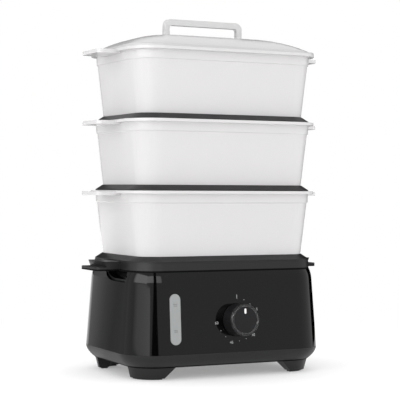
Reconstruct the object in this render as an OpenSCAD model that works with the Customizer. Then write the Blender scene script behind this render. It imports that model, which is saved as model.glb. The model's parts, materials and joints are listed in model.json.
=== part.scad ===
// Three tier electric food steamer.
// Every tub, tray and casing follows one plan: a core rectangle with its corners rounded. A piece is
// described by its reach, the distance from that core rectangle to its wall, so that all tiers line up.

/* [Plan] */
// Half length of the core rectangle, along X
core_x = 83; // [76:1:95]
// Half depth of the core rectangle, along Y
core_y = 45; // [43:1:58]

/* [Base] */
// Height of the moulded feet with their pads
foot_h = 13.5; // [12:0.5:18]
// Thickness of the rubber foot pads
pad_t = 1.5; // [1:0.5:2.5]
// Reach of a foot at its lower end
foot_reach = 27; // [24:0.5:29]
// Width of a foot at its lower end
foot_w = 12; // [9:0.5:13]
// Length of a foot past its corner curve, at its lower end
foot_run = 3; // [2:1:8]
// Height of the satin skirt above the feet
skirt_h = 15; // [12:0.5:18]
// Reach of the skirt at its lower edge
skirt_reach = 30.5; // [28:0.5:33]
// Reach at the seam between skirt and casing, the widest place
seam_reach = 41.2; // [39:0.1:45]
// Height of the glossy casing above the seam
casing_h = 90.5; // [85:0.5:100]
// Reach of the casing where its shoulder starts
shoulder_reach = 35.3; // [34.5:0.1:37]
// Height of the curved shoulder
shoulder_h = 12; // [8:0.5:14]
// Reach of the casing at its top edge
rim_reach = 32.3; // [31.8:0.1:33.3]
// Wall of the casing and of the bottom cover
casing_t = 2.5; // [2:0.1:2.8]

/* [Water tank] */
// Reach of the tank wall outside
tank_reach = 26.3; // [24:0.1:27.3]
// Wall of the tank
tank_t = 2.2; // [1.8:0.1:2.6]
// Height of the tank floor's underside above the table
tank_floor_z = 45; // [43:0.5:49]
// Depth of the fill notch below the casing's top edge
notch_h = 11.7; // [8:0.1:14]
// Length of the fill notch
notch_l = 61; // [40:1:70]
// Distance of the notch's middle in front of the base's middle
notch_y = 19.5; // [10:0.5:21]

/* [Heater] */
// Radius of the heating plate in the tank
plate_r = 33.4; // [28:0.1:34]
// Radius of the ring that the heating tube is bent to
element_r = 22; // [18:0.5:23]
// Radius of the heating tube
tube_r = 4; // [3:0.1:4.5]
// Height of the loose steam sleeve round the heating plate
sleeve_h = 50; // [40:1:54]

/* [Timer] */
// Height of the timer knob's middle on the front
knob_z = 64.5; // [62:0.5:67]
// Distance of the knob from the middle of the front, to the right
knob_x = 4.5; // [0:0.5:6]
// Radius of the knob
knob_r = 18.7; // [17:0.1:20]
// Distance from the front panel to the knob's face
knob_reach = 20.5; // [16:0.5:24]
// Radius of the timer shaft
shaft_r = 3; // [2.5:0.1:3.5]
// Side of the square timer case
timer_w = 42; // [38:1:44]
// Depth of the timer case
timer_d = 20; // [16:0.5:22]

/* [Level window] */
// Distance of the window's middle from the base's middle, to the left
window_x = 72.5; // [68:0.5:73]
// Height of the window's middle above the table
window_z = 67.5; // [65:0.5:69]
// Width of the window
window_w = 13.5; // [11:0.5:16]
// Height of the window
window_h = 56.7; // [46:0.1:58]

/* [Drip tray] */
// Height of the drip tray's rim above the casing
tray_h = 10.5; // [9.5:0.5:14]
// Depth of the tray's well below the casing's top edge
well_h = 14; // [8:0.5:17]
// Radius of the steam chimney in the tray
chimney_r = 34; // [26:1:38]
// Thickness of the tray
tray_t = 2; // [1.6:0.1:2.4]

/* [Tiers] */
// Height of a bowl
bowl_h = 73.5; // [60:0.5:95]
// Reach of a bowl's outside at its lower edge
bowl_foot_reach = 22; // [20:0.1:23.5]
// Reach of a bowl's outside below its collar
bowl_top_reach = 29; // [28:0.1:30]
// Height of the collar and lip at a bowl's mouth
collar_h = 14; // [11:0.5:18]
// Reach of a bowl's lip
lip_reach = 36.7; // [34:0.1:38]
// Thickness of the lip and of the end tabs
lip_t = 3.4; // [2.5:0.1:4.5]
// Wall of the bowls and the lid
bowl_t = 2; // [1.6:0.1:2.4]
// Height of a divider grid between two bowls
grid_h = 6.5; // [5.5:0.1:9]
// Reach of a divider's sloped flange
grid_reach = 31; // [30:0.1:31.6]
// Wall of the dividers
grid_t = 2; // [1.6:0.1:2.4]
// Number of egg seats along a divider
egg_cols = 3; // [2:1:3]
// Radius of an egg seat
egg_r = 18.5; // [15:0.5:18.5]
// Reach of the end tabs on the tray and the bowls
tab_reach = 60; // [50:1:64]
// Width of the end tabs
tab_w = 50; // [36:1:60]

/* [Lid] */
// Rise of the dome above the lid's rim
dome_h = 17; // [12:0.5:28]
// Depth of the skirt that the lid has inside the top bowl
lid_skirt_h = 16; // [8:0.5:18]
// Width of the loop handle
handle_w = 101; // [80:1:120]
// Height of the loop handle's top above the lid's rim
handle_h = 39.5; // [37:0.5:48]
// Thickness of the handle's bar and legs
handle_t = 6.5; // [5:0.5:9]
// Depth of the handle, front to back
handle_d = 7; // [5:0.5:12]

/* [Fits] */
// Gap between pieces that slide or drop into each other
drop_gap = 0.4; // [0.3:0.05:0.6]
// Gap between pieces that are screwed or clipped together
seat_gap = 0.2; // [0.15:0.05:0.4]
// Gap round the turning shaft
turn_gap = 0.05; // [0.03:0.01:0.08]

/* [Hidden] */
$fn = 48;
cut = 1; // how far a cutting shape runs past what it cuts

// Heights above the table
seam_z = foot_h + skirt_h;
rim_z = seam_z + casing_h;
shoulder_z = rim_z - shoulder_h;
tray_z = rim_z + tray_h;
pitch = bowl_h + grid_h;
lid_z = tray_z + 3 * pitch;

// The front panel leans back between the seam and the shoulder
lean = atan((seam_reach - shoulder_reach) / (shoulder_z - seam_z));
function panel_reach(z) = seam_reach - (z - seam_z) * tan(lean);

// Upper end of the knob's side, and the bevel at its face
knob_top_r = knob_r - 0.7;
knob_bevel = 1.2;

// Cord bush in the back wall
bush_x = 62;
bush_z = seam_z + 12;
bush_r = 5.5;
bush_flange_r = 8;
bush_flange_t = 2;
cord_r = 3.3;
bush_out_y = core_y + panel_reach(bush_z - bush_flange_r) + seat_gap; // where the outer flange starts

// The origin lies under the middle of the whole box, knob and bush included
front_reach = core_y + panel_reach(knob_z) + knob_reach * cos(lean) + (knob_top_r - knob_bevel) * sin(lean);
back_reach = bush_out_y + bush_flange_t;
stack_y = (front_reach - back_reach) / 2;

// Timer fixings
bushing_r = 5;
bushing_l = 0.6; // how far the timer's bushing stands out of the panel
timer_screw_x = 12;
bell_h = 6;
bell_r = 17;

// ---- the plan and its sweeps ----

// Flat plan of the given reach
module plan(reach) {
  square([2 * (core_x + reach), 2 * core_y], center = true);
  square([2 * core_x, 2 * (core_y + reach)], center = true);
  for (x = [-1, 1], y = [-1, 1]) translate([x * core_x, y * core_y]) circle(reach);
}

// Solid plate of the given reach, from height low to height high
module plate(reach, low, high) {
  translate([0, 0, low]) linear_extrude(high - low) plan(reach);
}

// Wall with the section given as [reach, height] points, all the way round the plan
module wall(section) {
  for (turn = [0 : 3]) rotate([0, 0, 90 * turn]) {
    hx = turn % 2 == 0 ? core_x : core_y;
    hy = turn % 2 == 0 ? core_y : core_x;
    translate([hx, hy]) rotate_extrude(angle = 90) polygon(section);
    translate([hx, hy]) rotate([90, 0, 0]) linear_extrude(2 * hy) polygon(section);
  }
}

// Places its children on the front panel, x to the right, y up the panel and z out of it
module on_panel(x, z) {
  translate([x, -core_y - panel_reach(z), z]) rotate([90 - lean, 0, 0]) children();
}

// Outline with half round ends, standing
module stadium(w, h) {
  square([w, h - w], center = true);
  for (y = [-1, 1]) translate([0, y * (h - w) / 2]) circle(w / 2);
}

// Rounded tab that reaches out at both ends of the plan
module end_tabs(inner_reach, outer_reach, w, low, t) {
  corner = 6;
  for (side = [-1, 1]) translate([0, 0, low]) linear_extrude(t) {
    translate([side * (core_x + (inner_reach + outer_reach - corner) / 2), 0])
      square([outer_reach - inner_reach - corner, w], center = true);
    translate([side * (core_x + outer_reach - corner), 0]) {
      square([corner * 2, w - 2 * corner], center = true);
      for (y = [-1, 1]) translate([0, y * (w / 2 - corner)]) circle(corner);
    }
  }
}

// Centres its children on the four screw places under the tank
pillar_x = core_x - 20;
pillar_y = core_y - 9;
module at_pillars() {
  for (x = [-1, 1], y = [-1, 1]) translate([x * pillar_x, y * pillar_y, 0]) children();
}

// ---- the base ----

skirt_steps = 6;
skirt_bulge = 1.9; // power of the skirt's curve
function skirt_curve(grow) = [for (i = [0 : skirt_steps]) let (u = i / skirt_steps)
  [skirt_reach + (seam_reach - skirt_reach) * (1 - pow(1 - u, skirt_bulge)) - grow, foot_h + u * skirt_h]];
function reversed(list) = [for (i = [len(list) - 1 : -1 : 0]) list[i]];

// Section of a foot, from its pad up into the cover's floor
foot_section = [[foot_reach - foot_w, pad_t], [foot_reach, pad_t], [skirt_reach - 0.3, foot_h],
  [skirt_reach - 0.3, foot_h + cut], [foot_reach - foot_w - 4, foot_h + cut]];

// Sweeps a section round each corner and on along the long sides, by the run at its lower end and
// by the run plus the flare at its upper end
module at_feet(section, run, low, high, flare) {
  for (x = [0, 1], y = [0, 1]) mirror([x, 0, 0]) mirror([0, y, 0]) translate([core_x, core_y, 0]) {
    rotate_extrude(angle = 90) polygon(section);
    intersection() {
      translate([-run - flare, 0, 0]) rotate([90, 0, 90]) linear_extrude(run + flare) polygon(section);
      translate([0, 2 * skirt_reach, 0]) rotate([90, 0, 0]) linear_extrude(2 * skirt_reach)
        polygon([[0, low], [-run, low], [-run - flare, high], [0, high]]);
    }
  }
}

floor_t = casing_t;
boss_r = 4.2;
boss_z = foot_h + 8;
screw_r = 1.5;
head_r = 3;
head_t = 2;

foot_flare = 13; // how much longer a foot is at its upper end
module bottom_cover() color([0.11, 0.11, 0.12]) difference() {
  union() {
    wall(concat(skirt_curve(0), reversed(skirt_curve(casing_t))));
    plate(skirt_reach, foot_h, foot_h + floor_t);
    // locating lip inside the casing's lower edge
    wall([[seam_reach - casing_t - seat_gap - 1.8, seam_z - 6],
      [seam_reach - casing_t - seat_gap, seam_z - 6],
      [seam_reach - casing_t - seat_gap, seam_z + 0.1],
      [seam_reach - casing_t - seat_gap - 0.3, seam_z + 4],
      [seam_reach - casing_t - seat_gap - 1.8, seam_z + 4]]);
    at_feet(foot_section, foot_run, pad_t, foot_h + cut, foot_flare);
    at_pillars() translate([0, 0, foot_h]) cylinder(r = boss_r, h = boss_z - foot_h);
  }
  at_pillars() {
    translate([0, 0, foot_h - cut]) cylinder(r = screw_r + seat_gap, h = boss_z - foot_h + 2 * cut);
    translate([0, 0, foot_h - cut]) cylinder(r = head_r + seat_gap, h = head_t + cut + 1);
  }
  // air slots in the floor
  for (x = [-3 : 3]) translate([x * 11, 0, foot_h - cut]) linear_extrude(floor_t + 2 * cut) stadium(3.6, 34);
}

pad_inset = 3; // how far the pads stand in from the feet
module foot_pads() color([0.06, 0.06, 0.06]) {
  in = foot_reach - foot_w + pad_inset / 2;
  out = foot_reach - pad_inset;
  at_feet([[in, 0], [out, 0], [out, pad_t], [in, pad_t]], foot_run - pad_inset / 2, 0, pad_t, 0);
}

shoulder_steps = 6;
shoulder_bulge = 2.2; // power of the shoulder's curve
shoulder_lean = shoulder_h * tan(lean); // what the panel's lean alone takes off up to the rim
// The shoulder leaves the panel without a kink and curves in to the rim
shoulder_line = [for (i = [0 : shoulder_steps]) let (u = i / shoulder_steps)
  [shoulder_reach - shoulder_lean * u - (shoulder_reach - shoulder_lean - rim_reach) * pow(u, shoulder_bulge),
    shoulder_z + u * shoulder_h]];
ledge_t = 2.2;
ledge_z = rim_z - 2.5; // top of the ledge that carries the tank
ledge_reach = tank_reach + drop_gap + 0.2;

// Outline of the fill notch in the left wall, as [y, z], drawn in by the inset
function notch(inset) = let (back = -notch_y + notch_l / 2 - inset, front = -notch_y - notch_l / 2 + inset,
  low = rim_z - notch_h + inset, bend = notch_l * 0.42)
  concat([[back, rim_z + cut], [front, rim_z + cut], [front + 2.5, low]],
    [for (a = [0 : 15 : 90]) [back - bend + bend * sin(a), low + (rim_z - low) * (1 - cos(a))]]);
module notch_block(inset, from_reach, to_reach) {
  translate([-core_x - to_reach, 0, 0]) rotate([90, 0, 90]) linear_extrude(to_reach - from_reach)
    polygon(notch(inset));
}

window_flange = 2.5; // how far the window's flange overlaps the panel inside

module base_casing() color([0.03, 0.03, 0.03]) difference() {
  wall(concat([[seam_reach - casing_t, seam_z], [seam_reach, seam_z]], shoulder_line,
    [[rim_reach - casing_t, rim_z], [rim_reach - casing_t, ledge_z], [ledge_reach, ledge_z],
     [ledge_reach, ledge_z - ledge_t], [rim_reach - casing_t + 0.6, ledge_z - ledge_t],
     [shoulder_reach - casing_t, shoulder_z]]));
  notch_block(0, ledge_reach - cut, seam_reach + cut);
  on_panel(-window_x, window_z) translate([0, 0, -8]) linear_extrude(16) stadium(window_w, window_h);
  on_panel(knob_x, knob_z) {
    translate([0, 0, -8]) cylinder(r = bushing_r + seat_gap, h = 16);
    for (x = [-1, 1]) translate([x * timer_screw_x, 0, -8]) cylinder(r = screw_r + seat_gap, h = 16);
  }
  translate([bush_x, core_y, bush_z]) rotate([-90, 0, 0]) cylinder(r = bush_r + seat_gap, h = seam_reach + cut);
}

recess_x = timer_w / 2 + 4.5; // half width of the space for the timer under the tank
recess_y = core_y + panel_reach(knob_z) - casing_t - timer_d - bell_h - 6;
recess_z = knob_z + timer_w / 2 + 6;
tank_rim_t = 2;
tank_rim_z = ledge_z + tank_rim_t;
seal_t = 1.5;
clamp_z = tank_floor_z - seal_t - 3; // top of the clamp ring
clamp_screw_r = plate_r + 10.6;

module at_clamp() {
  for (a = [90, 210, 330]) rotate([0, 0, a]) translate([clamp_screw_r, 0, 0]) children();
}

module water_tank() color([0.09, 0.09, 0.10]) difference() {
  union() {
    plate(tank_reach, tank_floor_z, tank_rim_z);
    plate(rim_reach - casing_t - seat_gap, ledge_z, tank_rim_z);
    // spout that lies in the casing's fill notch
    intersection() {
      notch_block(drop_gap, tank_reach - cut, rim_reach);
      plate(rim_reach, rim_z - notch_h, tank_rim_z);
    }
    at_pillars() translate([0, 0, boss_z]) cylinder(r = boss_r, h = tank_floor_z - boss_z + cut);
    at_clamp() translate([0, 0, clamp_z]) cylinder(r = boss_r, h = tank_floor_z - clamp_z + cut);
    // apron that carries the lower end of the level window's seal
    translate([-window_x - window_w / 2, -core_y - tank_reach, window_z - window_h / 2 - 1])
      cube([window_w, tank_t, tank_floor_z - window_z + window_h / 2 + 1 + cut]);
  }
  // the inside, kept off the timer's space
  difference() {
    plate(tank_reach - tank_t, tank_floor_z + tank_t, tank_rim_z + cut);
    translate([knob_x - recess_x - tank_t, -core_y - tank_reach, tank_floor_z])
      cube([2 * (recess_x + tank_t), core_y + tank_reach - recess_y + tank_t, recess_z - tank_floor_z + tank_t]);
  }
  translate([knob_x - recess_x, -core_y - tank_reach - cut, tank_floor_z - cut])
    cube([2 * recess_x, core_y + tank_reach + cut - recess_y, recess_z - tank_floor_z + cut]);
  notch_block(drop_gap + tank_t, tank_reach - tank_t - cut, rim_reach + 2);
  translate([0, 0, tank_floor_z - cut]) cylinder(r = plate_r + seat_gap, h = tank_t + 2 * cut);
  at_pillars() translate([0, 0, boss_z - cut]) cylinder(r = screw_r + turn_gap, h = 14);
  at_clamp() translate([0, 0, clamp_z - cut]) cylinder(r = screw_r + turn_gap, h = tank_floor_z - clamp_z);
  // slot through which the water stands in the level window
  intersection() {
    on_panel(-window_x, window_z) translate([0, 0, -30]) linear_extrude(26)
      stadium(window_w - 2 * window_wall - 1, window_h - 2 * window_wall - 3);
    plate(tank_reach + cut, tank_floor_z + tank_t + 1, rim_z);
  }
}

window_wall = 1.6;
window_seal_t = 1.5;
// Everything behind the given distance in front of the tank's front wall
module behind(gap) {
  translate([-window_x - window_w, -core_y - tank_reach - gap, window_z - window_h])
    cube([2 * window_w, core_y, 2 * window_h]);
}
module gauge_bar(inset) {
  on_panel(-window_x, window_z) translate([0, 0, -26]) linear_extrude(26 - casing_t)
    stadium(window_w - 1 - 2 * inset, window_h - 1 - 2 * inset);
}

module level_window() color([0.62, 0.64, 0.65, 0.5]) difference() {
  union() {
    on_panel(-window_x, window_z) {
      translate([0, 0, -casing_t - cut]) linear_extrude(casing_t + cut + 0.3)
        stadium(window_w - 2 * seat_gap, window_h - 2 * seat_gap);
      translate([0, 0, -casing_t - 2]) linear_extrude(2)
        stadium(window_w + 2 * window_flange, window_h + 2 * window_flange);
    }
    gauge_bar(0);
  }
  gauge_bar(window_wall);
  behind(window_seal_t);
}

module window_seal() color([0.75, 0.75, 0.73]) difference() {
  intersection() {
    gauge_bar(0);
    behind(window_seal_t);
  }
  gauge_bar(window_wall);
  behind(0);
}

plate_flange_r = plate_r + 5;
module heating_plate() color([0.72, 0.73, 0.74]) {
  translate([0, 0, clamp_z]) cylinder(r = plate_flange_r, h = 3);
  translate([0, 0, clamp_z + 3 - 0.1]) cylinder(r = plate_r, h = tank_floor_z + tank_t + 1.5 - clamp_z - 3 + 0.1);
  // raised ring over the heating tube
  translate([0, 0, tank_floor_z + tank_t + 1.4]) rotate_extrude()
    polygon([[element_r - 6, 0], [element_r + 6, 0], [element_r + 4, 2.4], [element_r - 4, 2.4]]);
}

element_gap_a = 50; // opening of the heating tube's loop, in degrees
pin_a = element_gap_a / 2 + 8; // angle of each cold end from the front
pin_l = 14;
element_z = clamp_z - tube_r - 0.1;
module heating_element() color([0.45, 0.44, 0.43]) {
  translate([0, 0, element_z]) rotate([0, 0, -90 + element_gap_a / 2])
    rotate_extrude(angle = 360 - element_gap_a) translate([element_r, 0]) circle(tube_r, $fn = 12);
  // cold ends
  for (side = [-1, 1]) rotate([0, 0, -90 + side * pin_a]) translate([element_r, 0, element_z - pin_l])
    cylinder(r = 1.6, h = pin_l);
}

module plate_seal() color([0.75, 0.30, 0.22]) translate([0, 0, tank_floor_z - seal_t]) difference() {
  cylinder(r = plate_flange_r, h = seal_t);
  translate([0, 0, -cut]) cylinder(r = plate_r + seat_gap, h = seal_t + 2 * cut);
}

clamp_t = 1.5;
module clamp_ring() color([0.62, 0.63, 0.64]) difference() {
  union() {
    translate([0, 0, clamp_z - clamp_t]) cylinder(r = plate_flange_r + 1, h = clamp_t);
    at_clamp() translate([0, 0, clamp_z - clamp_t]) cylinder(r = boss_r + 1, h = clamp_t);
  }
  translate([0, 0, clamp_z - clamp_t - cut]) cylinder(r = element_r + tube_r + 2.5, h = clamp_t + 2 * cut);
  at_clamp() translate([0, 0, clamp_z - clamp_t - cut]) cylinder(r = screw_r + seat_gap, h = clamp_t + 2 * cut);
}

module clamp_screws() color([0.75, 0.75, 0.76]) at_clamp() translate([0, 0, clamp_z - clamp_t - head_t]) {
  cylinder(r = head_r, h = head_t);
  cylinder(r = screw_r, h = head_t + clamp_t + 3);
}

thermostat_r = 8;
module thermostat() color([0.85, 0.84, 0.80]) translate([0, 0, clamp_z - 8]) {
  translate([0, 0, 2]) cylinder(r = thermostat_r, h = 6);
  for (x = [-1, 1]) translate([x * 4.5 - 0.4, -3.2, -5]) cube([0.8, 6.4, 7.5]);
}

fuse_r = 2.2;
fuse_l = 22;
fuse_wire_l = 36;
fuse_y = -plate_flange_r + 4;
fuse_z = clamp_z - clamp_t - fuse_r - 0.1;
module thermal_fuse() color([0.80, 0.78, 0.66]) translate([0, fuse_y, fuse_z]) rotate([0, 90, 0]) {
  cylinder(r = fuse_r, h = fuse_l, center = true);
  cylinder(r = 0.7, h = fuse_wire_l, center = true);
}

// ---- the timer ----

shaft_l = 13; // length of the shaft in front of the panel
shaft_in = 14; // length of the shaft inside the timer
flat_depth = 1; // depth of the flat on the shaft
flat_z = bushing_l + 3; // where the flat starts in front of the panel

module timer_case() color([0.90, 0.89, 0.85]) on_panel(knob_x, knob_z) difference() {
  union() {
    translate([-timer_w / 2, -timer_w / 2, -casing_t - timer_d]) cube([timer_w, timer_w, timer_d]);
    translate([0, 0, -casing_t - 1]) cylinder(r = bushing_r, h = casing_t + 1 + bushing_l);
    translate([0, 0, -casing_t - timer_d - bell_h + 1]) cylinder(r = 2.5, h = bell_h);
  }
  translate([0, 0, -shaft_in - 0.5]) cylinder(r = shaft_r + turn_gap, h = shaft_in + 2);
  for (x = [-1, 1]) translate([x * timer_screw_x, 0, -casing_t - 7]) cylinder(r = screw_r + turn_gap, h = 8);
}

module timer_bell() color([0.70, 0.71, 0.72]) on_panel(knob_x, knob_z)
  translate([0, 0, -casing_t - timer_d - bell_h]) difference() {
    cylinder(r1 = bell_r - 3, r2 = bell_r, h = bell_h - 0.5);
    translate([0, 0, 1]) cylinder(r1 = bell_r - 4, r2 = bell_r - 1, h = bell_h);
    translate([0, 0, -cut]) cylinder(r = 2.5 + seat_gap, h = bell_h);
  }

module timer_screws() color([0.75, 0.75, 0.76]) on_panel(knob_x, knob_z)
  for (x = [-1, 1]) translate([x * timer_screw_x, 0, 0]) {
    cylinder(r = head_r - 0.3, h = head_t - 0.4);
    translate([0, 0, -casing_t - 6]) cylinder(r = screw_r, h = casing_t + 6.5);
  }

// Round shaft with a flat, or the hole for it
module flatted_shaft(r, low, high, flat_from) {
  difference() {
    translate([0, 0, low]) cylinder(r = r, h = high - low);
    translate([-r - cut, r - flat_depth, flat_from]) cube([2 * (r + cut), 2 * r, high - flat_from + cut]);
  }
}

module timer_shaft() color([0.70, 0.71, 0.72]) on_panel(knob_x, knob_z)
  flatted_shaft(shaft_r, -shaft_in, shaft_l, flat_z);

knob_gap = 1; // gap between the knob's skirt and the panel
knob_face = 2.4; // width of the bevelled ring round the face
hub_r = 6.5;
knob_face_z = knob_reach - 0.8; // the face, sunk inside its ring
module timer_knob() color([0.05, 0.05, 0.055]) on_panel(knob_x, knob_z) difference() {
  rotate_extrude($fn = 72) polygon([[0, knob_gap], [knob_r, knob_gap], [knob_r, knob_gap + 1.5],
    [knob_top_r, knob_reach - 1.6], [knob_top_r - knob_bevel, knob_reach], [knob_top_r - knob_face, knob_reach],
    [knob_top_r - knob_face - 0.7, knob_face_z], [0, knob_face_z]]);
  // hollow back round the hub
  translate([0, 0, knob_gap - cut]) difference() {
    cylinder(r = knob_r - 2.4, h = knob_reach - knob_gap - 4 + cut);
    cylinder(r = hub_r, h = knob_reach);
  }
  flatted_shaft(shaft_r + turn_gap, -cut, shaft_l + 0.4, flat_z + 0.5);
  // pocket for the white pointer
  translate([0, knob_pointer_y, knob_face_z - pointer_t]) linear_extrude(pointer_t + cut)
    stadium(pointer_w + 0.1, pointer_l + 0.1);
}

pointer_w = 2.3;
pointer_l = 5.8;
pointer_t = 0.6;
knob_pointer_y = 9.8;
module knob_pointer() color([0.95, 0.95, 0.95]) on_panel(knob_x, knob_z)
  translate([0, knob_pointer_y, knob_face_z - pointer_t]) linear_extrude(pointer_t + 0.15)
    stadium(pointer_w, pointer_l);

// ---- the electric inlet ----

module cord_bush() color([0.07, 0.07, 0.07]) {
  nut_y = core_y + panel_reach(bush_z + bush_flange_r) - casing_t - 4.5; // inner end of the bush
  translate([bush_x, 0, bush_z]) rotate([-90, 0, 0]) difference() {
    union() {
      translate([0, 0, nut_y]) cylinder(r = bush_r, h = bush_out_y - nut_y + cut);
      translate([0, 0, bush_out_y]) cylinder(r1 = bush_flange_r, r2 = bush_flange_r - 1, h = bush_flange_t);
      translate([0, 0, nut_y]) cylinder(r = bush_flange_r - 0.6, h = 3);
    }
    translate([0, 0, nut_y - cut]) cylinder(r = cord_r, h = 30);
  }
}

module terminal_block() color([0.93, 0.92, 0.88]) {
  low = foot_h + floor_t;
  translate([0, block_y, low]) difference() {
    translate([-18, -8, 0]) cube([36, 16, 12]);
    for (x = [-1 : 1]) translate([x * 11, 0, 5]) cylinder(r = 2.4, h = 8);
    for (x = [-1 : 1]) translate([x * 11, -9, 5]) rotate([-90, 0, 0]) cylinder(r = 1.8, h = 18);
  }
}

lead_r = 1.2;
block_y = core_y + 6; // middle of the terminal block
// Insulated lead through the given points
module lead(points) {
  for (i = [0 : len(points) - 2]) {
    step = points[i + 1] - points[i];
    translate(points[i]) rotate([0, acos(step[2] / norm(step)), atan2(step[1], step[0])])
      cylinder(r = lead_r, h = norm(step), $fn = 16);
    if (i > 0) translate(points[i]) rotate([40, 25, 0]) sphere(lead_r + 0.25, $fn = 16);
  }
}

module internal_leads() color([0.80, 0.80, 0.78]) {
  low = foot_h + floor_t + 4; // run of the leads above the cover's floor
  pin = [element_r * sin(pin_a), -element_r * cos(pin_a), element_z - pin_l - 0.1];
  tab = clamp_z - 8 - 5 - 0.1; // lower end of the thermostat's tabs
  timer_y = -core_y - panel_reach(knob_z) + 11;
  timer_low = knob_z - timer_w / 2 - 1;
  fuse = [fuse_wire_l / 2 + 1, fuse_y, fuse_z];
  lead([[11, block_y - 4, low + 1], [11, block_y - 13, low + 1], [16, 0, low], [pin[0], pin[1], low], pin]);
  lead([[-11, block_y - 4, low + 1], [-11, block_y - 13, low + 1], [-34, 24, low], [-34, -48, low],
    [-14, timer_y, low + 12], [-14, timer_y, timer_low]]);
  lead([[-fuse[0], fuse[1], fuse[2]], [-24, fuse[1], fuse[2] - 3], [-20, -27, low + 2],
    [-pin[0], pin[1], low], [-pin[0], pin[1], pin[2]]]);
  lead([fuse, [23, fuse[1], fuse[2] - 5], [13, -14, low + 3], [4.5, 0, tab - 3], [4.5, 0, tab]]);
  lead([[-4.5, 0, tab], [-4.5, 0, tab - 3], [-16, -14, low + 6], [-14, -45, low + 6],
    [-4, timer_y, low + 12], [-4, timer_y, timer_low]]);
}

module cover_screws() color([0.75, 0.75, 0.76]) at_pillars() translate([0, 0, foot_h + 1]) {
  cylinder(r = head_r, h = head_t);
  cylinder(r = screw_r, h = boss_z - foot_h + 10);
}

// ---- steam sleeve and drip tray ----

sleeve_t = 1.8;
sleeve_r = plate_r + 4.4;
module steam_sleeve() color([0.10, 0.10, 0.11]) translate([0, 0, tank_floor_z + tank_t]) difference() {
  union() {
    cylinder(r1 = sleeve_r + sleeve_t, r2 = sleeve_r - 3 + sleeve_t, h = sleeve_h);
    cylinder(r = sleeve_r + sleeve_t + 1.5, h = 2);
  }
  translate([0, 0, -0.01]) cylinder(r1 = sleeve_r, r2 = sleeve_r - 3, h = sleeve_h + 0.02);
  // water gates round the lower edge
  for (a = [0 : 60 : 300]) rotate([0, 0, a]) translate([sleeve_r - 6, -5, -cut]) cube([14, 10, 5 + cut]);
}

tray_reach = grid_reach + 0.3;
tray_low_reach = rim_reach - 0.4;
well_reach = tank_reach - tank_t - 0.6;
lug_reach = tab_reach - 10;
lug_flare = 2.5; // how far a lug leans out from the tab to its top
tab_low = rim_z;
tab_t = lip_t + 0.6;
module drip_tray() color([0.06, 0.06, 0.065]) difference() {
  union() {
    wall([[tray_low_reach, rim_z], [tray_reach, tray_z], [tray_reach - tray_t, tray_z],
      [tray_low_reach - tray_t - 0.2, rim_z + tray_t + 0.2], [well_reach - tray_t, rim_z + tray_t + 0.2],
      [well_reach - tray_t - 1.5, rim_z - well_h + tray_t], [well_reach - 2 * tray_t - 1.5, rim_z - well_h + tray_t],
      [well_reach - 2 * tray_t - 1.5, rim_z - well_h], [well_reach - 1.5, rim_z - well_h], [well_reach, rim_z]]);
    plate(well_reach - tray_t - 1.5, rim_z - well_h, rim_z - well_h + tray_t);
    translate([0, 0, rim_z - well_h]) cylinder(r = chimney_r + tray_t, h = well_h + 1);
    end_tabs(tray_low_reach - 1, tab_reach, tab_w, tab_low, tab_t);
    // flared lugs above the tabs
    for (side = [-1, 1]) translate([side * core_x, tab_w / 2, 0]) rotate([90, 0, 0]) linear_extrude(tab_w)
      polygon([[side * (tray_reach - 1), tab_low + 1], [side * (lug_reach - lug_flare), tab_low + 1],
        [side * (lug_reach - lug_flare), tab_low + tab_t], [side * lug_reach, tray_z],
        [side * (tray_reach - 1), tray_z]]);
  }
  translate([0, 0, rim_z - well_h - cut]) cylinder(r = chimney_r, h = well_h + 2 + 2 * cut);
}

// ---- the tiers ----

tab_drop = 2.2; // how far a bowl's tabs lie below its lip
skirt_drop = 6; // depth of a divider's skirt inside the bowl below
upstand = 5; // height of the rim on which a bowl is centred
mouth_reach = bowl_top_reach - bowl_t + 1.4; // inside of a bowl at its mouth
bowl_in_reach = bowl_foot_reach - bowl_t; // inside of a bowl at its foot

slot_w = 3;
slot_gap = 2.3; // bar between two slots
slot_rows = 3;
// Three rows of three steam slots round the given place
module slots(cx) {
  row = 2 * (core_y + 9) / slot_rows;
  for (i = [-1 : 1], j = [0 : slot_rows - 1])
    translate([cx + i * (slot_w + slot_gap), (j - (slot_rows - 1) / 2) * row]) stadium(slot_w, row - 5, $fn = 12);
}

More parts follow.
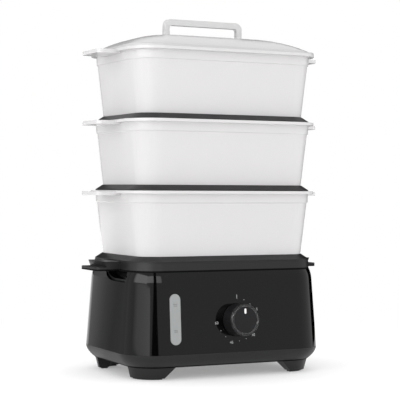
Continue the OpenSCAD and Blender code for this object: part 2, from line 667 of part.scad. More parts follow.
module divider(low) color([0.05, 0.05, 0.055]) translate([0, 0, low]) {
  skirt_out = mouth_reach - 1;
  seat_in = bowl_in_reach - drop_gap - 0.2;
  top = grid_h;
  egg_x = 2 * core_x / egg_cols;
  egg_y = core_y / 2 + 3.5;
  difference() {
    union() {
      wall([[skirt_out, -skirt_drop], [skirt_out, 0], [grid_reach, 0], [grid_reach, 1.2],
        [bowl_foot_reach + 0.8, top], [seat_in, top], [seat_in, top + upstand],
        [seat_in - grid_t, top + upstand], [seat_in - grid_t, top - grid_t], [bowl_foot_reach, top - grid_t],
        [skirt_out - grid_t, 1.6], [skirt_out - grid_t, -skirt_drop]]);
      plate(seat_in - grid_t, top - grid_t, top);
      for (i = [0 : egg_cols - 1], y = [-1, 1])
        translate([(i - (egg_cols - 1) / 2) * egg_x, y * egg_y, top - 0.1]) cylinder(r = egg_r + 2, h = 1.7);
    }
    translate([0, 0, top - grid_t - cut]) linear_extrude(grid_t + 2 * cut) {
      for (i = [1 : egg_cols - 1]) slots((i - egg_cols / 2) * egg_x);
      for (side = [-1, 1]) slots(side * (core_x + 2));
    }
    for (i = [0 : egg_cols - 1], y = [-1, 1])
      translate([(i - (egg_cols - 1) / 2) * egg_x, y * egg_y, 0]) {
        translate([0, 0, top]) cylinder(r = egg_r, h = 3);
        translate([0, 0, top - grid_t - cut]) cylinder(r = 7, h = 2 * grid_t);
        for (a = [0 : 60 : 300]) rotate([0, 0, a]) translate([0.7 * egg_r, 0, top - grid_t - cut])
          cylinder(r = 2.6, h = 2 * grid_t, $fn = 12);
      }
  }
}

module bowl(low) color([0.93, 0.93, 0.93, 0.6]) translate([0, 0, low]) {
  collar_z = bowl_h - collar_h;
  wall([[bowl_foot_reach, 0], [bowl_top_reach, collar_z], [bowl_top_reach + 1.2, collar_z + 0.8],
    [bowl_top_reach + 1.7, bowl_h - lip_t], [lip_reach, bowl_h - lip_t], [lip_reach, bowl_h],
    [mouth_reach, bowl_h], [mouth_reach - 1.4, collar_z], [bowl_in_reach, 0]]);
  end_tabs(bowl_top_reach, tab_reach, tab_w, bowl_h - lip_t - tab_drop, lip_t + 1);
}

// ---- the lid ----

dome_reach = lip_reach - 3.7; // reach at which the dome starts on the rim
dome_from = bowl_t + 0.1; // height of the dome's edge above the bowl's lip
dome_span = core_y + dome_reach; // distance from the dome's edge to its ridge
dome_power = 3; // power of the dome's curve
dome_rings = 10;
dome_stop = 0.97; // share of the span at which the ridge's flat starts
corner_steps = 8;
function dome_rise(d) = dome_h * (1 - pow(1 - d / dome_span, dome_power));

// One level ring of the dome, drawn in by the distance d and set at height z
function dome_ring(d, z) = let (left = dome_span - d, lie = d / dome_span,
    r = left * (dome_reach / dome_span * (1 - lie) + lie), hx = core_x + dome_reach - d - r, hy = left - r)
  [for (q = [0 : 3], i = [0 : corner_steps]) let (a = 90 * q + 90 * i / corner_steps,
    sx = (q == 0 || q == 3) ? 1 : -1, sy = q < 2 ? 1 : -1) [sx * hx + r * cos(a), sy * hy + r * sin(a), z]];

// Distances of the rings from the dome's edge, closer together near the edge
function ring_d(i) = dome_span * dome_stop * pow(i / dome_rings, 1.3);

// Thin dome shell as one closed skin: rings up the outside, then rings up the inside
module dome_shell() {
  n = 4 * (corner_steps + 1);
  outer = [for (i = [0 : dome_rings]) each dome_ring(ring_d(i), dome_from + dome_rise(ring_d(i)))];
  inner = [for (i = [0 : dome_rings]) let (d = bowl_t + ring_d(i) * (1 - bowl_t / dome_span))
    each dome_ring(d, dome_from + dome_rise(ring_d(i)) - bowl_t)];
  m = n * (dome_rings + 1);
  function quads(from, flip) = [for (k = [0 : dome_rings - 1], i = [0 : n - 1]) let (j = (i + 1) % n,
      a = from + k * n + i, b = from + k * n + j, c = from + (k + 1) * n + j, d = from + (k + 1) * n + i)
    each (flip ? [[a, b, c], [a, c, d]] : [[a, c, b], [a, d, c]])];
  polyhedron(concat(outer, inner), concat(quads(0, false), quads(m, true),
    [[for (i = [n - 1 : -1 : 0]) m - n + i]], [[for (i = [0 : n - 1]) 2 * m - n + i]],
    [for (i = [0 : n - 1]) let (j = (i + 1) % n) each [[i, j, m + j], [i, m + j, m + i]]]));
}

lid_reach = lip_reach - 0.3;
rim_edge_t = 1.6; // thickness of the lid's rim at its edge
leg_slot_x = (handle_w - handle_t) / 2;
vent_r = 2;
// Height of the dome's top surface over the handle's legs
leg_z = dome_from + dome_rise(min(dome_span * dome_stop, core_x + dome_reach - leg_slot_x));

module lid() color([0.94, 0.94, 0.94, 0.6]) translate([0, 0, lid_z]) difference() {
  union() {
    skirt_out = mouth_reach - 1.2;
    // flat rim with a thinner edge, and the skirt that hangs in the bowl's mouth
    wall([[lid_reach, 0], [lid_reach, rim_edge_t], [dome_reach + 1, bowl_t],
      [skirt_out - bowl_t, bowl_t], [skirt_out - bowl_t, 0], [skirt_out - bowl_t - 1.4, -lid_skirt_h],
      [skirt_out - 1.4, -lid_skirt_h], [skirt_out, 0]]);
    dome_shell();
  }
  for (side = [-1, 1]) translate([side * leg_slot_x - handle_t / 2 - drop_gap, -handle_d / 2 - drop_gap,
    leg_z - 8]) cube([handle_t + 2 * drop_gap, handle_d + 2 * drop_gap, 16]);
  // steam vents on the top
  for (x = [-15, 15]) translate([x, 0, dome_h - 8]) cylinder(r = vent_r, h = 20);
}

barb = 1.4; // how far the clips of the handle's legs stand out under the lid
barb_t = 1.7;
module lid_handle() color([0.95, 0.95, 0.95, 0.7]) translate([0, handle_d / 2, lid_z]) rotate([90, 0, 0]) {
  bend = 8;
  in_bend = 3;
  // the barbs' top, just under the dome's inner surface
  barb_z = dome_from + dome_rise(core_x + dome_reach - handle_w / 2 - barb) - bowl_t - seat_gap;
  low = barb_z - barb_t;
  inner_w = handle_w - 2 * handle_t;
  inner_top = handle_h - handle_t - 0.7;
  linear_extrude(handle_d) difference() {
    union() {
      translate([-handle_w / 2, low]) square([handle_w, handle_h - bend - low]);
      translate([-handle_w / 2 + bend, low]) square([handle_w - 2 * bend, handle_h - low]);
      for (side = [-1, 1]) translate([side * (handle_w / 2 - bend), handle_h - bend]) circle(bend);
    }
    translate([-inner_w / 2, low - cut]) square([inner_w, inner_top - in_bend - low + cut]);
    translate([-inner_w / 2 + in_bend, low - cut]) square([inner_w - 2 * in_bend, inner_top - low + cut]);
    for (side = [-1, 1]) translate([side * (inner_w / 2 - in_bend), inner_top - in_bend]) circle(in_bend);
  }
  // barbs that clip the legs under the lid
  linear_extrude(handle_d) for (side = [-1, 1])
    polygon([[side * (handle_w / 2 - 0.5), low], [side * (handle_w / 2), low],
      [side * (handle_w / 2 + barb), low + barb_t - 0.5], [side * (handle_w / 2 + barb), barb_z],
      [side * (handle_w / 2 - 0.5), barb_z]]);
}

// ---- placing ----

module placed() translate([0, stack_y, 0]) children();

placed() bottom_cover();
placed() foot_pads();
placed() base_casing();
placed() water_tank();
placed() level_window();
placed() window_seal();
placed() heating_plate();
placed() heating_element();
placed() plate_seal();
placed() clamp_ring();
placed() thermostat();
placed() thermal_fuse();
placed() clamp_screws();
placed() timer_case();
placed() timer_bell();
placed() timer_screws();
placed() timer_shaft();
placed() timer_knob();
placed() knob_pointer();
placed() terminal_block();
placed() internal_leads();
placed() cord_bush();
placed() cover_screws();
placed() steam_sleeve();
placed() drip_tray();
placed() divider(tray_z);  // divider_1
placed() divider(tray_z + pitch);  // divider_2
placed() divider(tray_z + 2 * pitch);  // divider_3
placed() bowl(tray_z + grid_h);  // bowl_1
placed() bowl(tray_z + grid_h + pitch);  // bowl_2
placed() bowl(tray_z + grid_h + 2 * pitch);  // bowl_3
placed() lid();
placed() lid_handle();
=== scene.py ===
# %% [markdown]
# # A three tier food steamer
# The CAD model gives every piece its size and place. This script loads it, rounds the pieces that
# show, gives each piece a material built from nodes, and lights the whole like a catalogue
# photograph. Lengths are in metres, Z is up and the front faces -Y.

# %% Load the CAD frame
import json
import math

import bmesh
import bpy
from mathutils import Matrix, Vector


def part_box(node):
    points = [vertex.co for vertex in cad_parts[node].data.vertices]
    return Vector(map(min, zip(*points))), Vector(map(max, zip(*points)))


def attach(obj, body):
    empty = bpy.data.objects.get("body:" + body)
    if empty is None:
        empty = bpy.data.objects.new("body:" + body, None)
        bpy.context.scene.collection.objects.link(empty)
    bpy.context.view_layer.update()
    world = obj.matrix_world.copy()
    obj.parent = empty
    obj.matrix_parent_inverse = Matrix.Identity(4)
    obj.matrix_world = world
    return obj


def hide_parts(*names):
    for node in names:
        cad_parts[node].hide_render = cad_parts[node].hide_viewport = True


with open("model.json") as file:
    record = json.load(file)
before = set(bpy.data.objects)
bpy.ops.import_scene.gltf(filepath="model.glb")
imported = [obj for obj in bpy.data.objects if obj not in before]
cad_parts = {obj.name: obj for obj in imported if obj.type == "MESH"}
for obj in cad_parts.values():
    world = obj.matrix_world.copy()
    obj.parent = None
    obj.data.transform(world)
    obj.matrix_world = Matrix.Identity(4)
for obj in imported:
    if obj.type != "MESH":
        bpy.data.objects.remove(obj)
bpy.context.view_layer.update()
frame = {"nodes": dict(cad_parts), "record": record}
mm = 0.001


# %% Helper that puts something into the scene
def put(name, data):
    """A new object that holds a mesh, a camera, a lamp or letters."""
    thing = bpy.data.objects.new(name, data)
    bpy.context.scene.collection.objects.link(thing)
    return thing


# %% [markdown]
# ## Camera
# The photograph was taken from the front left, with a long lens and a level camera. A camera could
# also be tilted at the steamer, but then the upright edges would run together. A level one keeps
# them parallel, and the lens shift moves the view down, as a product photographer does. The place
# and the lens were fitted to the photograph. Its upright edges ask for a lean of 0.6 degrees and
# its level edges for none, so this camera leans by half of that.

# %% Place the camera
turn = math.radians(26.3)
lean = math.radians(0.3)
eye_height, eye_distance, eye_aside = 0.2133, 1.616, 0.0019
film_width, focal_length = 36, 123.3
lens_shift = -0.0315

bowl_low, bowl_high = (Vector(c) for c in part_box("bowl_1"))
stack_y = (bowl_low.y + bowl_high.y) / 2
sideways = Vector((math.cos(turn), -math.sin(turn), 0))
forwards = Vector((math.sin(turn), math.cos(turn), 0))
camera_data = bpy.data.cameras.new("photo_camera")
camera = put("photo_camera", camera_data)
camera.location = Vector((0, stack_y, eye_height)) - eye_distance * forwards - eye_aside * sideways
level = Matrix.Rotation(-turn, 3, "Z") @ Matrix.Rotation(math.radians(90), 3, "X")
camera.rotation_euler = (level @ Matrix.Rotation(lean, 3, "Z")).to_euler()
camera_data.sensor_width = film_width
camera_data.lens = focal_length
camera_data.shift_y = lens_shift
camera_data.clip_end = 20
bpy.context.scene.camera = camera
print("camera at", [round(v, 3) for v in camera.location])

# %% [markdown]
# ## Materials
# A moulded plastic is never one even colour. Its gloss changes a little where the mould was
# polished or etched, and its surface has a fine grain. An image could hold all that, but noise in
# Object coordinates stays sharp from near and stays on its piece from every side. The finishes
# differ only in colour, gloss and grain, so one helper builds them all.


# %% Helper that adds a node
def add_node(tree, kind, inputs=None, **settings):
    """A shader node with its settings, and with values for its inputs."""
    node = tree.nodes.new(kind)
    for key, value in settings.items():
        setattr(node, key, value)
    for key, value in (inputs or {}).items():
        node.inputs[key].default_value = value
    return node


# %% Helper for a moulded finish
mix_a, mix_b, mix_result = 6, 7, 2  # where a Mix node keeps its colour sockets
cloud_scale = 22.0
gloss_spread = 0.15
grain_height = 0.0003


def moulded(name, colour, rough, grain, depth, mottle=0.06, **sockets):
    """A moulded finish: mottled colour, uneven gloss, and a grain that is finer the larger its
    number and stronger with depth. Other numbers go to the shader's own sockets."""
    material = bpy.data.materials.new(name)
    material.use_nodes = True
    tree = material.node_tree
    link = tree.links.new
    shader = tree.nodes["Principled BSDF"]
    place = add_node(tree, "ShaderNodeTexCoord")
    cloud = add_node(tree, "ShaderNodeTexNoise", {"Scale": cloud_scale, "Detail": 3.0})
    link(place.outputs["Object"], cloud.inputs["Vector"])
    tint = add_node(tree, "ShaderNodeMix", data_type="RGBA")
    tint.inputs[mix_a].default_value = (*[c * (1 - mottle) for c in colour], 1)
    tint.inputs[mix_b].default_value = (*[min(1, c * (1 + mottle)) for c in colour], 1)
    link(cloud.outputs["Fac"], tint.inputs["Factor"])
    link(tint.outputs[mix_result], shader.inputs["Base Color"])
    gloss = add_node(tree, "ShaderNodeMapRange",
                     {"To Min": rough * (1 - gloss_spread),
                      "To Max": min(1, rough * (1 + gloss_spread))})
    link(cloud.outputs["Fac"], gloss.inputs["Value"])
    link(gloss.outputs["Result"], shader.inputs["Roughness"])
    fine = add_node(tree, "ShaderNodeTexNoise", {"Scale": float(grain), "Detail": 2.0})
    link(place.outputs["Object"], fine.inputs["Vector"])
    bump = add_node(tree, "ShaderNodeBump", {"Strength": depth, "Distance": grain_height})
    link(fine.outputs["Fac"], bump.inputs["Height"])
    link(bump.outputs["Normal"], shader.inputs["Normal"])
    for key, value in sockets.items():
        shader.inputs[key.replace("_", " ")].default_value = value
    return material


def grey(value):
    """A colour without a hue."""
    return (value, value, value)


# %% The black plastics of the base, the tray and the dividers
piano_black = moulded("piano_black", grey(0.0015), 0.06, grain=40, depth=0.02,
                      Specular_IOR_Level=0.25)
satin_black = moulded("satin_black", grey(0.010), 0.40, grain=1400, depth=0.10,
                      Specular_IOR_Level=0.30)
knob_black = moulded("knob_black", (0.010, 0.010, 0.011), 0.34, grain=1600, depth=0.06,
                     Specular_IOR_Level=0.16)
tank_grey = moulded("tank_grey", (0.012, 0.012, 0.013), 0.45, grain=1000, depth=0.08,
                    Specular_IOR_Level=0.12)
print("black finishes:", [m.name for m in (piano_black, satin_black, knob_black, tank_grey)])

# %% [markdown]
# ## The frosted plastics
# The bowls and the lid are a clear plastic with a frosted face: they glow in the light and let only
# a shade of what is behind them through. Subsurface scattering is one way to show that, but here it
# made the bowls darker. A pale colour with about a quarter of rough transmission keeps them about
# as bright as in the photograph. The lid is greyer there than the bowls, so it has its own colour.

# %% The bowls, the lid and its handle
frosted = moulded("frosted", (0.80, 0.79, 0.795), 0.24, grain=1800, depth=0.08, mottle=0.01,
                  Transmission_Weight=0.28, IOR=1.46, Specular_IOR_Level=0.5)
frosted_lid = moulded("frosted_lid", (0.62, 0.615, 0.62), 0.22, grain=1800, depth=0.08,
                      mottle=0.01, Transmission_Weight=0.22, IOR=1.46, Specular_IOR_Level=0.5)
milky = moulded("milky", grey(0.72), 0.30, grain=1200, depth=0.04, mottle=0.01,
                Transmission_Weight=0.30, IOR=1.46)
print("translucent finishes:", [m.name for m in (frosted, frosted_lid, milky)])

# %% The window, the print, the trim and the pads
smoke_window = moulded("smoke_window", (0.27, 0.28, 0.28), 0.35, grain=700, depth=0.03,
                       mottle=0.03)
grey_print = moulded("grey_print", grey(0.07), 0.5, grain=2000, depth=0.03, mottle=0.02)
dial_print_white = moulded("dial_print_white", grey(0.42), 0.6, grain=2000, depth=0.03,
                           mottle=0.02)
white_print = moulded("white_print", grey(0.86), 0.5, grain=2000, depth=0.03, mottle=0.02)
# painted shade: a matt black that stands for the shadow in the joints and on the casing's edges
painted_shade_black = moulded("painted_shade_black", grey(0.002), 0.6, grain=900, depth=0.02,
                     Specular_IOR_Level=0.05)
bright_rim = moulded("bright_rim", grey(0.50), 0.30, grain=1500, depth=0.03, mottle=0.02,
                     Metallic=1.0)
pad_rubber = moulded("pad_rubber", grey(0.018), 0.8, grain=2400, depth=0.25)
print("small finishes:", [m.name for m in (smoke_window, grey_print, dial_print_white,
                                           white_print, painted_shade_black, bright_rim, pad_rubber)])

# %% The pieces inside
silicone = moulded("silicone", (0.55, 0.54, 0.50), 0.55, grain=1200, depth=0.05)
cast_aluminium = moulded("cast_aluminium", (0.62, 0.63, 0.64), 0.38, grain=700, depth=0.25,
                         Metallic=1.0)
zinc_steel = moulded("zinc_steel", (0.60, 0.60, 0.58), 0.28, grain=1500, depth=0.08, Metallic=1.0)
heated_steel = moulded("heated_steel", (0.34, 0.31, 0.28), 0.42, grain=900, depth=0.12,
                       Metallic=1.0)
glazed_ceramic = moulded("glazed_ceramic", (0.78, 0.76, 0.70), 0.18, grain=300, depth=0.03)
timer_plastic = moulded("timer_plastic", (0.76, 0.75, 0.70), 0.45, grain=1300, depth=0.08)
lead_sleeve = moulded("lead_sleeve", (0.62, 0.62, 0.58), 0.7, grain=3000, depth=0.3)
print("finishes inside:", [m.name for m in (silicone, cast_aluminium, zinc_steel, heated_steel,
                                            glazed_ceramic, timer_plastic, lead_sleeve)])

# %% [markdown]
# ## Rounding the CAD pieces
# The CAD pieces come as loose triangles with sharp edges, and no real moulding has those. They
# could all be modelled again, but their shapes are there already. So each piece that shows is a
# copy: its triangles are merged, flat neighbours are joined to whole faces, and a small bevel
# rounds the edges so that they catch the light. Each copy replaces its CAD piece and rides on the
# same body.

# %% Helper that copies a CAD piece with whole faces
same_point = 0.002 * mm
flat_angle = math.radians(0.6)


def whole_faces(node, cuts):
    """A copy of a CAD piece's mesh, merged to whole faces and cut through at heights in mm."""
    bm = bmesh.new()
    bm.from_mesh(frame["nodes"][node].data)
    bmesh.ops.remove_doubles(bm, verts=bm.verts[:], dist=same_point)
    bmesh.ops.dissolve_limit(bm, angle_limit=flat_angle, verts=bm.verts[:], edges=bm.edges[:])
    for height in cuts:
        bmesh.ops.bisect_plane(bm, geom=bm.verts[:] + bm.edges[:] + bm.faces[:],
                               dist=same_point / 2, plane_co=(0, 0, height * mm),
                               plane_no=(0, 0, 1))
    mesh = bpy.data.meshes.new(node + "_rounded")
    bm.to_mesh(mesh)
    bm.free()
    return mesh


# %% Helper that rounds a CAD piece
body_of = {node: body for body, nodes in frame["record"]["behaviour"]["bodies"].items()
           for node in nodes}
bevel_margin = 4


def refined(node, material, edge, segments=2, sharp=28, edge_material=None, shade_band=()):
    """A copy of a CAD piece that stands for it, with edges rounded by edge mm where they turn by
    more than sharp degrees. The rounded edges may have a finish of their own. So may a band
    between two heights in mm: it is painted shade, finished matt black where a joint's shadow
    falls, and no groove."""
    mesh = whole_faces(node, shade_band)
    mesh.materials.append(material)
    if shade_band:
        mesh.materials.append(painted_shade_black)
        for face in mesh.polygons:
            face.material_index = int(shade_band[0] * mm < face.center.z < shade_band[1] * mm)
    mesh.shade_smooth()
    mesh.set_sharp_from_angle(angle=math.radians(sharp))
    piece = put(node + "_rounded", mesh)
    if edge:
        bevel = piece.modifiers.new("rounded edges", "BEVEL")
        bevel.width = edge * mm
        bevel.segments = segments
        bevel.limit_method = "ANGLE"
        bevel.angle_limit = math.radians(sharp + bevel_margin)
        bevel.harden_normals = True
        bevel.use_clamp_overlap = True
        if edge_material:
            mesh.materials.append(edge_material)
            bevel.material = 1
    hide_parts(node)
    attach(piece, body_of[node])


# %% [markdown]
# ## The pieces that show
# In the photograph two dark lines run round the base: one where the tray meets the casing, and one
# along the lower edge of the skirt. On the real base they may be gaps. The CAD pieces have no gap
# there, so each is painted shade: a band of about two millimetres finished matt black. The casing's
# rounded edges have the same painted shade. The thin bright ring round the knob's face is a metal
# finish on its edge.

# %% Round the pieces of the base
# painted shade: bands in mm where a joint's shadow falls, finished matt black
skirt_shade_band = (13.3, 15.0)
tray_shade_band = (118.8, 120.8)
refined("base_casing", piano_black, edge=0.7, edge_material=painted_shade_black)
refined("bottom_cover", satin_black, edge=0.4, shade_band=skirt_shade_band)
refined("foot_pads", pad_rubber, edge=0.3)
refined("drip_tray", satin_black, edge=0.5, shade_band=tray_shade_band)
print("painted_shade_bands from and to, in mm:", skirt_shade_band, tray_shade_band)

# %% Round the bowls, the dividers, the lid and the small pieces
for tier in (1, 2, 3):
    refined(f"divider_{tier}", satin_black, edge=0.4)
    refined(f"bowl_{tier}", frosted, edge=0.3)
refined("lid", frosted_lid, edge=0.25, sharp=40)
refined("lid_handle", milky, edge=0.9, segments=3)
refined("timer_knob", knob_black, edge=0.5, edge_material=bright_rim)
refined("knob_pointer", white_print, edge=0)
refined("level_window", smoke_window, edge=0.4)
refined("cord_bush", pad_rubber, edge=0.5)

# %% [markdown]
# ## The pieces inside
# Most of these pieces show only from below, when the tray is lifted, or not at all. So they keep
# their CAD edges, and each gets the finish that such a piece usually has.

# %% Finish the pieces inside
inner = {"water_tank": tank_grey, "steam_sleeve": tank_grey, "window_seal": silicone,
         "plate_seal": silicone, "heating_plate": cast_aluminium, "heating_element": heated_steel,
         "clamp_ring": zinc_steel, "clamp_screws": zinc_steel, "cover_screws": zinc_steel,
         "timer_screws": zinc_steel, "timer_bell": zinc_steel, "timer_shaft": zinc_steel,
         "thermostat": glazed_ceramic, "thermal_fuse": glazed_ceramic,
         "timer_case": timer_plastic, "terminal_block": timer_plastic,
         "internal_leads": lead_sleeve}
for node, material in inner.items():
    refined(node, material, edge=0)
print("pieces inside:", len(inner))

# %% [markdown]
# ## Marks on the front
# The dial has a stroke at the top for off, plain numbers for the minutes and dots between them. The
# level window has two small words for the highest and lowest water. On a real casing these are
# printed. A pattern in the material would do on a flat panel, but letters are easier to draw as
# shapes: so they are flat letters of a built in font, made into a mesh, laid just above the surface
# and given the thickness of a coat of paint.

# %% The plane of the front panel, from the timer's axis
hinge = next(j for j in frame["record"]["behaviour"]["joints"] if j["name"] == "timer_turn")
out = -Vector(hinge["axis"]).normalized()
right = Vector((1, 0, 0))
up = out.cross(right)
panel = Matrix((right, up, out)).transposed().to_4x4()
panel.translation = Vector(hinge["pos_m"])
last_minute = 60
minute = math.radians(hinge["range_deg"][1] / last_minute)
print("the panel leans back by", round(math.degrees(math.asin(up.y)), 1), "degrees")


# %% Helpers that print on the panel, with all sizes in mm
def on_panel(x, y, lift):
    """The place x, y on the panel, counted from the knob's axis and lifted off the panel."""
    return panel @ Matrix.Translation(Vector((x, y, lift)) * mm)


def print_letters(bm, words, size, x, y, lift):
    """Adds flat letters with their middle at x, y."""
    curve = bpy.data.curves.new("letters", "FONT")
    curve.body = words
    curve.size = size * mm
    curve.align_x = "CENTER"
    curve.align_y = "CENTER"
    flat = put("letters", curve)
    bpy.context.view_layer.update()
    drawn = flat.evaluated_get(bpy.context.evaluated_depsgraph_get())
    mesh = bpy.data.meshes.new_from_object(drawn)
    bpy.data.objects.remove(flat)
    mesh.transform(on_panel(x, y, lift))
    bm.from_mesh(mesh)
    bpy.data.meshes.remove(mesh)


def print_stroke(bm, width, height, x, y, lift):
    """Adds a flat bar with its middle at x, y."""
    bmesh.ops.create_grid(bm, x_segments=1, y_segments=1, size=0.5 * mm,
                          matrix=on_panel(x, y, lift) @ Matrix.Diagonal((width, height, 1, 1)))


def print_dot(bm, radius, x, y, lift):
    """Adds a flat dot with its middle at x, y."""
    bmesh.ops.create_circle(bm, cap_ends=True, segments=16, radius=radius * mm,
                            matrix=on_panel(x, y, lift))


# %% Helper that makes a print a piece
paint = 0.03 * mm


def printed_piece(name, bm, material):
    """Turns the flat print into a thin coat of paint that rides on the base."""
    mesh = bpy.data.meshes.new(name)
    bm.to_mesh(mesh)
    bm.free()
    mesh.materials.append(material)
    piece = put(name, mesh)
    coat = piece.modifiers.new("coat of paint", "SOLIDIFY")
    coat.thickness = paint
    coat.offset = -1
    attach(piece, "base")
    print(name, "has", len(mesh.polygons), "faces")


# %% The dial
dial_lift = 0.05
stroke_size, stroke_out = (0.6, 4.6), 26
number_size, numbers_out = 4.4, 26.5
dot_radius, dots_out = 0.42, 24
dial = bmesh.new()
print_stroke(dial, *stroke_size, 0, stroke_out, dial_lift)
for minutes in range(5, last_minute + 1, 5):
    angle = minutes * minute
    if minutes % 15:
        print_dot(dial, dot_radius, dots_out * math.sin(angle), dots_out * math.cos(angle),
                  dial_lift)
    else:
        print_letters(dial, str(minutes), number_size, numbers_out * math.sin(angle),
                      numbers_out * math.cos(angle), dial_lift)
printed_piece("dial_print", dial, dial_print_white)

# %% The marks on the level window
window_low, window_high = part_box("level_window")
window_x = (window_low[0] + window_high[0]) / 2 / mm - panel.translation.x / mm
window_y = 3.0
mark_lift = 0.36
mark_size = 2.4
line_size, line_below = (4.4, 0.35), 1.8
marks = bmesh.new()
for words, y in (("MAX", window_y + 16.5), ("MIN", window_y - 12.5)):
    print_letters(marks, words, mark_size, window_x, y, mark_lift)
    print_stroke(marks, *line_size, window_x, y - line_below, mark_lift)
printed_piece("window_print", marks, grey_print)

# %% [markdown]
# ## Floor and room
# The background is plain white with a soft shadow under the steamer. More light could wash it out
# to white, but it would wash out the bowls as well. So the white is a colour: the rays that look at
# the background, straight or by way of gloss or a clear wall, see white. All the other rays get a
# plain studio level, at which the bowls come out about as bright as their colour is written. Close
# to the steamer the floor is real paper, so that it keeps the shadow, and further out it fades to
# white.


# %% Helper that tells the looking rays from the lighting rays
def looking_rays(tree):
    """Output that is 1 for rays that look at the background and 0 for rays that bring light."""
    rays = add_node(tree, "ShaderNodeLightPath")
    gloss = add_node(tree, "ShaderNodeMath", operation="MAXIMUM")
    seen = add_node(tree, "ShaderNodeMath", operation="MAXIMUM")
    tree.links.new(rays.outputs["Is Camera Ray"], gloss.inputs[0])
    tree.links.new(rays.outputs["Is Glossy Ray"], gloss.inputs[1])
    tree.links.new(gloss.outputs[0], seen.inputs[0])
    tree.links.new(rays.outputs["Is Transmission Ray"], seen.inputs[1])
    return seen.outputs[0]


# %% The floor
floor_half = 8
bm = bmesh.new()
bmesh.ops.create_grid(bm, x_segments=1, y_segments=1, size=floor_half)
floor_mesh = bpy.data.meshes.new("floor")
bm.to_mesh(floor_mesh)
bm.free()
floor = put("floor", floor_mesh)
print("the floor is", 2 * floor_half, "metres wide")

# %% White paper for the floor
white = (1, 1, 1, 1)
paper_near, white_far = 0.16, 0.62
least_white = 0.30
paper = bpy.data.materials.new("white_paper")
paper.use_nodes = True
tree = paper.node_tree
link = tree.links.new
sheet = tree.nodes["Principled BSDF"]
sheet.inputs["Base Color"].default_value = (*grey(0.95), 1)
sheet.inputs["Roughness"].default_value = 0.95
sheet.inputs["Specular IOR Level"].default_value = 0.1
glow = add_node(tree, "ShaderNodeEmission", {"Color": white, "Strength": 1.0})
place = add_node(tree, "ShaderNodeTexCoord")
reach = add_node(tree, "ShaderNodeVectorMath", operation="LENGTH")
fade = add_node(tree, "ShaderNodeMapRange",
                {"From Min": paper_near, "From Max": white_far,
                 "To Min": least_white, "To Max": 1.0}, interpolation_type="SMOOTHSTEP")
whitened = add_node(tree, "ShaderNodeMath", operation="MULTIPLY")
floor_mix = add_node(tree, "ShaderNodeMixShader")
link(place.outputs["Object"], reach.inputs[0])
link(reach.outputs["Value"], fade.inputs["Value"])
link(fade.outputs["Result"], whitened.inputs[0])
link(looking_rays(tree), whitened.inputs[1])
link(whitened.outputs[0], floor_mix.inputs["Fac"])
link(sheet.outputs["BSDF"], floor_mix.inputs[1])
link(glow.outputs["Emission"], floor_mix.inputs[2])
link(floor_mix.outputs["Shader"], tree.nodes["Material Output"].inputs["Surface"])
floor_mesh.materials.append(paper)
print("the floor fades from paper to white between", paper_near, "and", white_far, "metres")

# %% The room
room_light = 1.3
world = bpy.data.worlds.new("studio")
bpy.context.scene.world = world
world.use_nodes = True
tree = world.node_tree
link = tree.links.new
background = tree.nodes["Background"]
background.inputs["Color"].default_value = white
background.inputs["Strength"].default_value = room_light
white_back = add_node(tree, "ShaderNodeBackground", {"Color": white, "Strength": 1.0})
either = add_node(tree, "ShaderNodeMixShader")
link(looking_rays(tree), either.inputs["Fac"])
link(background.outputs["Background"], either.inputs[1])
link(white_back.outputs["Background"], either.inputs[2])
link(either.outputs["Shader"], tree.nodes["World Output"].inputs["Surface"])
print("the room's level is", room_light)

# %% [markdown]
# ## Lamps
# Two large soft lamps give the bowls their shape: the left one is stronger, and the front one fills
# in. Small lamps would do it with hard shadows, which a studio avoids. The gloss doesn't see them,
# because what it mirrors is set by the cards further down.


# %% Helper that hangs a lamp
def stand_at(heading, distance, height):
    """A place round the steamer. Heading is in degrees from the front, positive to the left."""
    angle = math.radians(heading)
    return (-distance * math.sin(angle), -distance * math.cos(angle), height)


lamp_aim = Vector((0, 0, 0.22))


def softbox(name, heading, distance, height, size, glow):
    """A soft area lamp. Glow is how bright its face is, where 1 is white."""
    data = bpy.data.lights.new(name, "AREA")
    data.shape = "RECTANGLE"
    data.size, data.size_y = size
    data.energy = glow * math.pi * size[0] * size[1]
    lamp = put(name, data)
    lamp.location = stand_at(heading, distance, height)
    lamp.rotation_euler = (lamp_aim - lamp.location).to_track_quat("-Z", "Y").to_euler()
    lamp.visible_glossy = False
    print(name, "gives", round(data.energy, 1), "watts")


# %% Hang the lamps
softbox("softbox_left", 80, 2.2, 0.8, (1.8, 1.4), 1.1)
softbox("softbox_front", -10, 2.4, 0.9, (1.4, 1.2), 0.5)

# %% [markdown]
# ## Cards for the gloss
# A high gloss casing shows what stands round it, and what stood round the real one isn't known. In
# the photograph its front left corner has one upright dark line, its left side is darker than a
# white room would make it, and its right edge ends in a dark line. Studios do that with cards. The
# cards here were placed by trial until the gloss looked like that. A card's heading follows from a
# rule of mirrors: the camera stands 26 degrees to the left of the front, so a wall that faces n
# degrees to the left shows what stands at 2n - 26 degrees. Painting the lines on the casing would
# be simpler, but paint wouldn't move with the view. Only gloss sees the cards, apart from one that
# frosted walls show as well. They bring no light and no shade.


# %% Helper for the shape of a card
def card_mesh(name, outline):
    """An upright flat mesh. Its outline is its half width at rising heights."""
    bm = bmesh.new()
    bmesh.ops.create_grid(bm, x_segments=1, y_segments=len(outline) - 1, size=0.5)
    rows = sorted({round(v.co.y, 4) for v in bm.verts})
    for v in bm.verts:
        height, half = outline[rows.index(round(v.co.y, 4))]
        v.co = Vector((half if v.co.x > 0 else -half, 0, height))
    mesh = bpy.data.meshes.new(name)
    bm.to_mesh(mesh)
    bm.free()
    return mesh


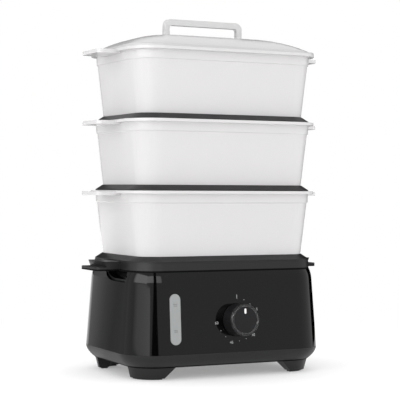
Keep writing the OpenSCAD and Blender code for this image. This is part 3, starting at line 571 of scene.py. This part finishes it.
# %% Helper for the glow of a card
def card_glow(name, widest, glow):
    """A material that shines. Glow is its brightness at places along the width, from -1 at the
    left edge to 1 at the right."""
    material = bpy.data.materials.new(name)
    material.use_nodes = True
    tree = material.node_tree
    link = tree.links.new
    tree.nodes.remove(tree.nodes["Principled BSDF"])
    place = add_node(tree, "ShaderNodeTexCoord")
    along = add_node(tree, "ShaderNodeSeparateXYZ")
    across = add_node(tree, "ShaderNodeMapRange", {"From Min": -widest, "From Max": widest})
    brightest = max(value for spot, value in glow) or 1
    ramp = add_node(tree, "ShaderNodeValToRGB")
    stops = ramp.color_ramp.elements
    for number, (spot, value) in enumerate(glow):
        stop = stops[number] if number < 2 else stops.new(1)
        stop.position = (spot + 1) / 2
        stop.color = (*grey(value / brightest), 1)
    light = add_node(tree, "ShaderNodeEmission", {"Strength": brightest})
    link(place.outputs["Object"], along.inputs[0])
    link(along.outputs["X"], across.inputs["Value"])
    link(across.outputs["Result"], ramp.inputs["Fac"])
    link(ramp.outputs["Color"], light.inputs["Color"])
    link(light.outputs["Emission"], tree.nodes["Material Output"].inputs["Surface"])
    return material


# %% Helper that hangs a card
def card(name, heading, distance, outline, glow, through=False):
    """A flat card that faces the steamer and that only gloss can see, or frosted walls too."""
    mesh = card_mesh(name, outline)
    mesh.materials.append(card_glow(name, max(half for height, half in outline), glow))
    piece = put(name, mesh)
    piece.location = stand_at(heading, distance, 0)
    piece.rotation_euler = (0, 0, -math.radians(heading))
    for kind in ("camera", "diffuse", "transmission", "volume_scatter", "shadow"):
        setattr(piece, "visible_" + kind, through and kind == "transmission")
    print(name, "hangs", distance, "metres away at", heading, "degrees")


# %% Hang the cards that the casing's left corner and left side mirror
black = [(-1, 0), (1, 0)]
card("black_cloth", 18, 1.9, [(-0.1, 0.50), (0.28, 0.17), (2.6, 0.17)], black)
card("grey_card", 146, 0.48, [(-0.25, 0.30), (0.125, 0.30)],
     [(-1, 1.4), (-0.15, 1.4), (-0.06, 0.65), (0.03, 0.38), (0.12, 0.26), (0.4, 0.45), (1, 0.8)])
card("grey_card_high", 146, 0.48, [(0.125, 0.30), (0.50, 0.30)],
     [(-1, 0), (-0.3, 0.1), (-0.12, 0.5), (1, 0.7)])

# %% Hang the cards for the right edge, the shoulder and the rounded corner
card("edge_card", -115, 0.57, [(-0.3, 0.25), (0.60, 0.25)], black, through=True)
card("high_card", -153.7, 0.75, [(0.14, 0.7), (0.75, 0.7)], [(-1, 0.05), (1, 0.05)])
card("left_card", 63, 1.7, [(0.05, 0.94), (0.26, 0.94)], [(-1, 1.0), (-0.4, 2.2), (1, 3.0)])
card("sky_card_left", 72, 2.1, [(0.34, 1.0), (1.5, 1.0)], [(-1, 2.0), (-0.6, 5.0), (1, 5.5)])
card("sky_card_front", 20, 2.2, [(0.42, 1.1), (1.5, 1.1)], [(-1, 5.0), (1, 3.5)])

# %% [markdown]
# ## Last settings
# A bevel or a coat of paint must not make the steamer larger than its CAD model. The last cell
# shows the colours with the standard view transform.

# %% Set the view transform and finish
bpy.context.scene.view_settings.view_transform = "Standard"
bpy.context.view_layer.update()
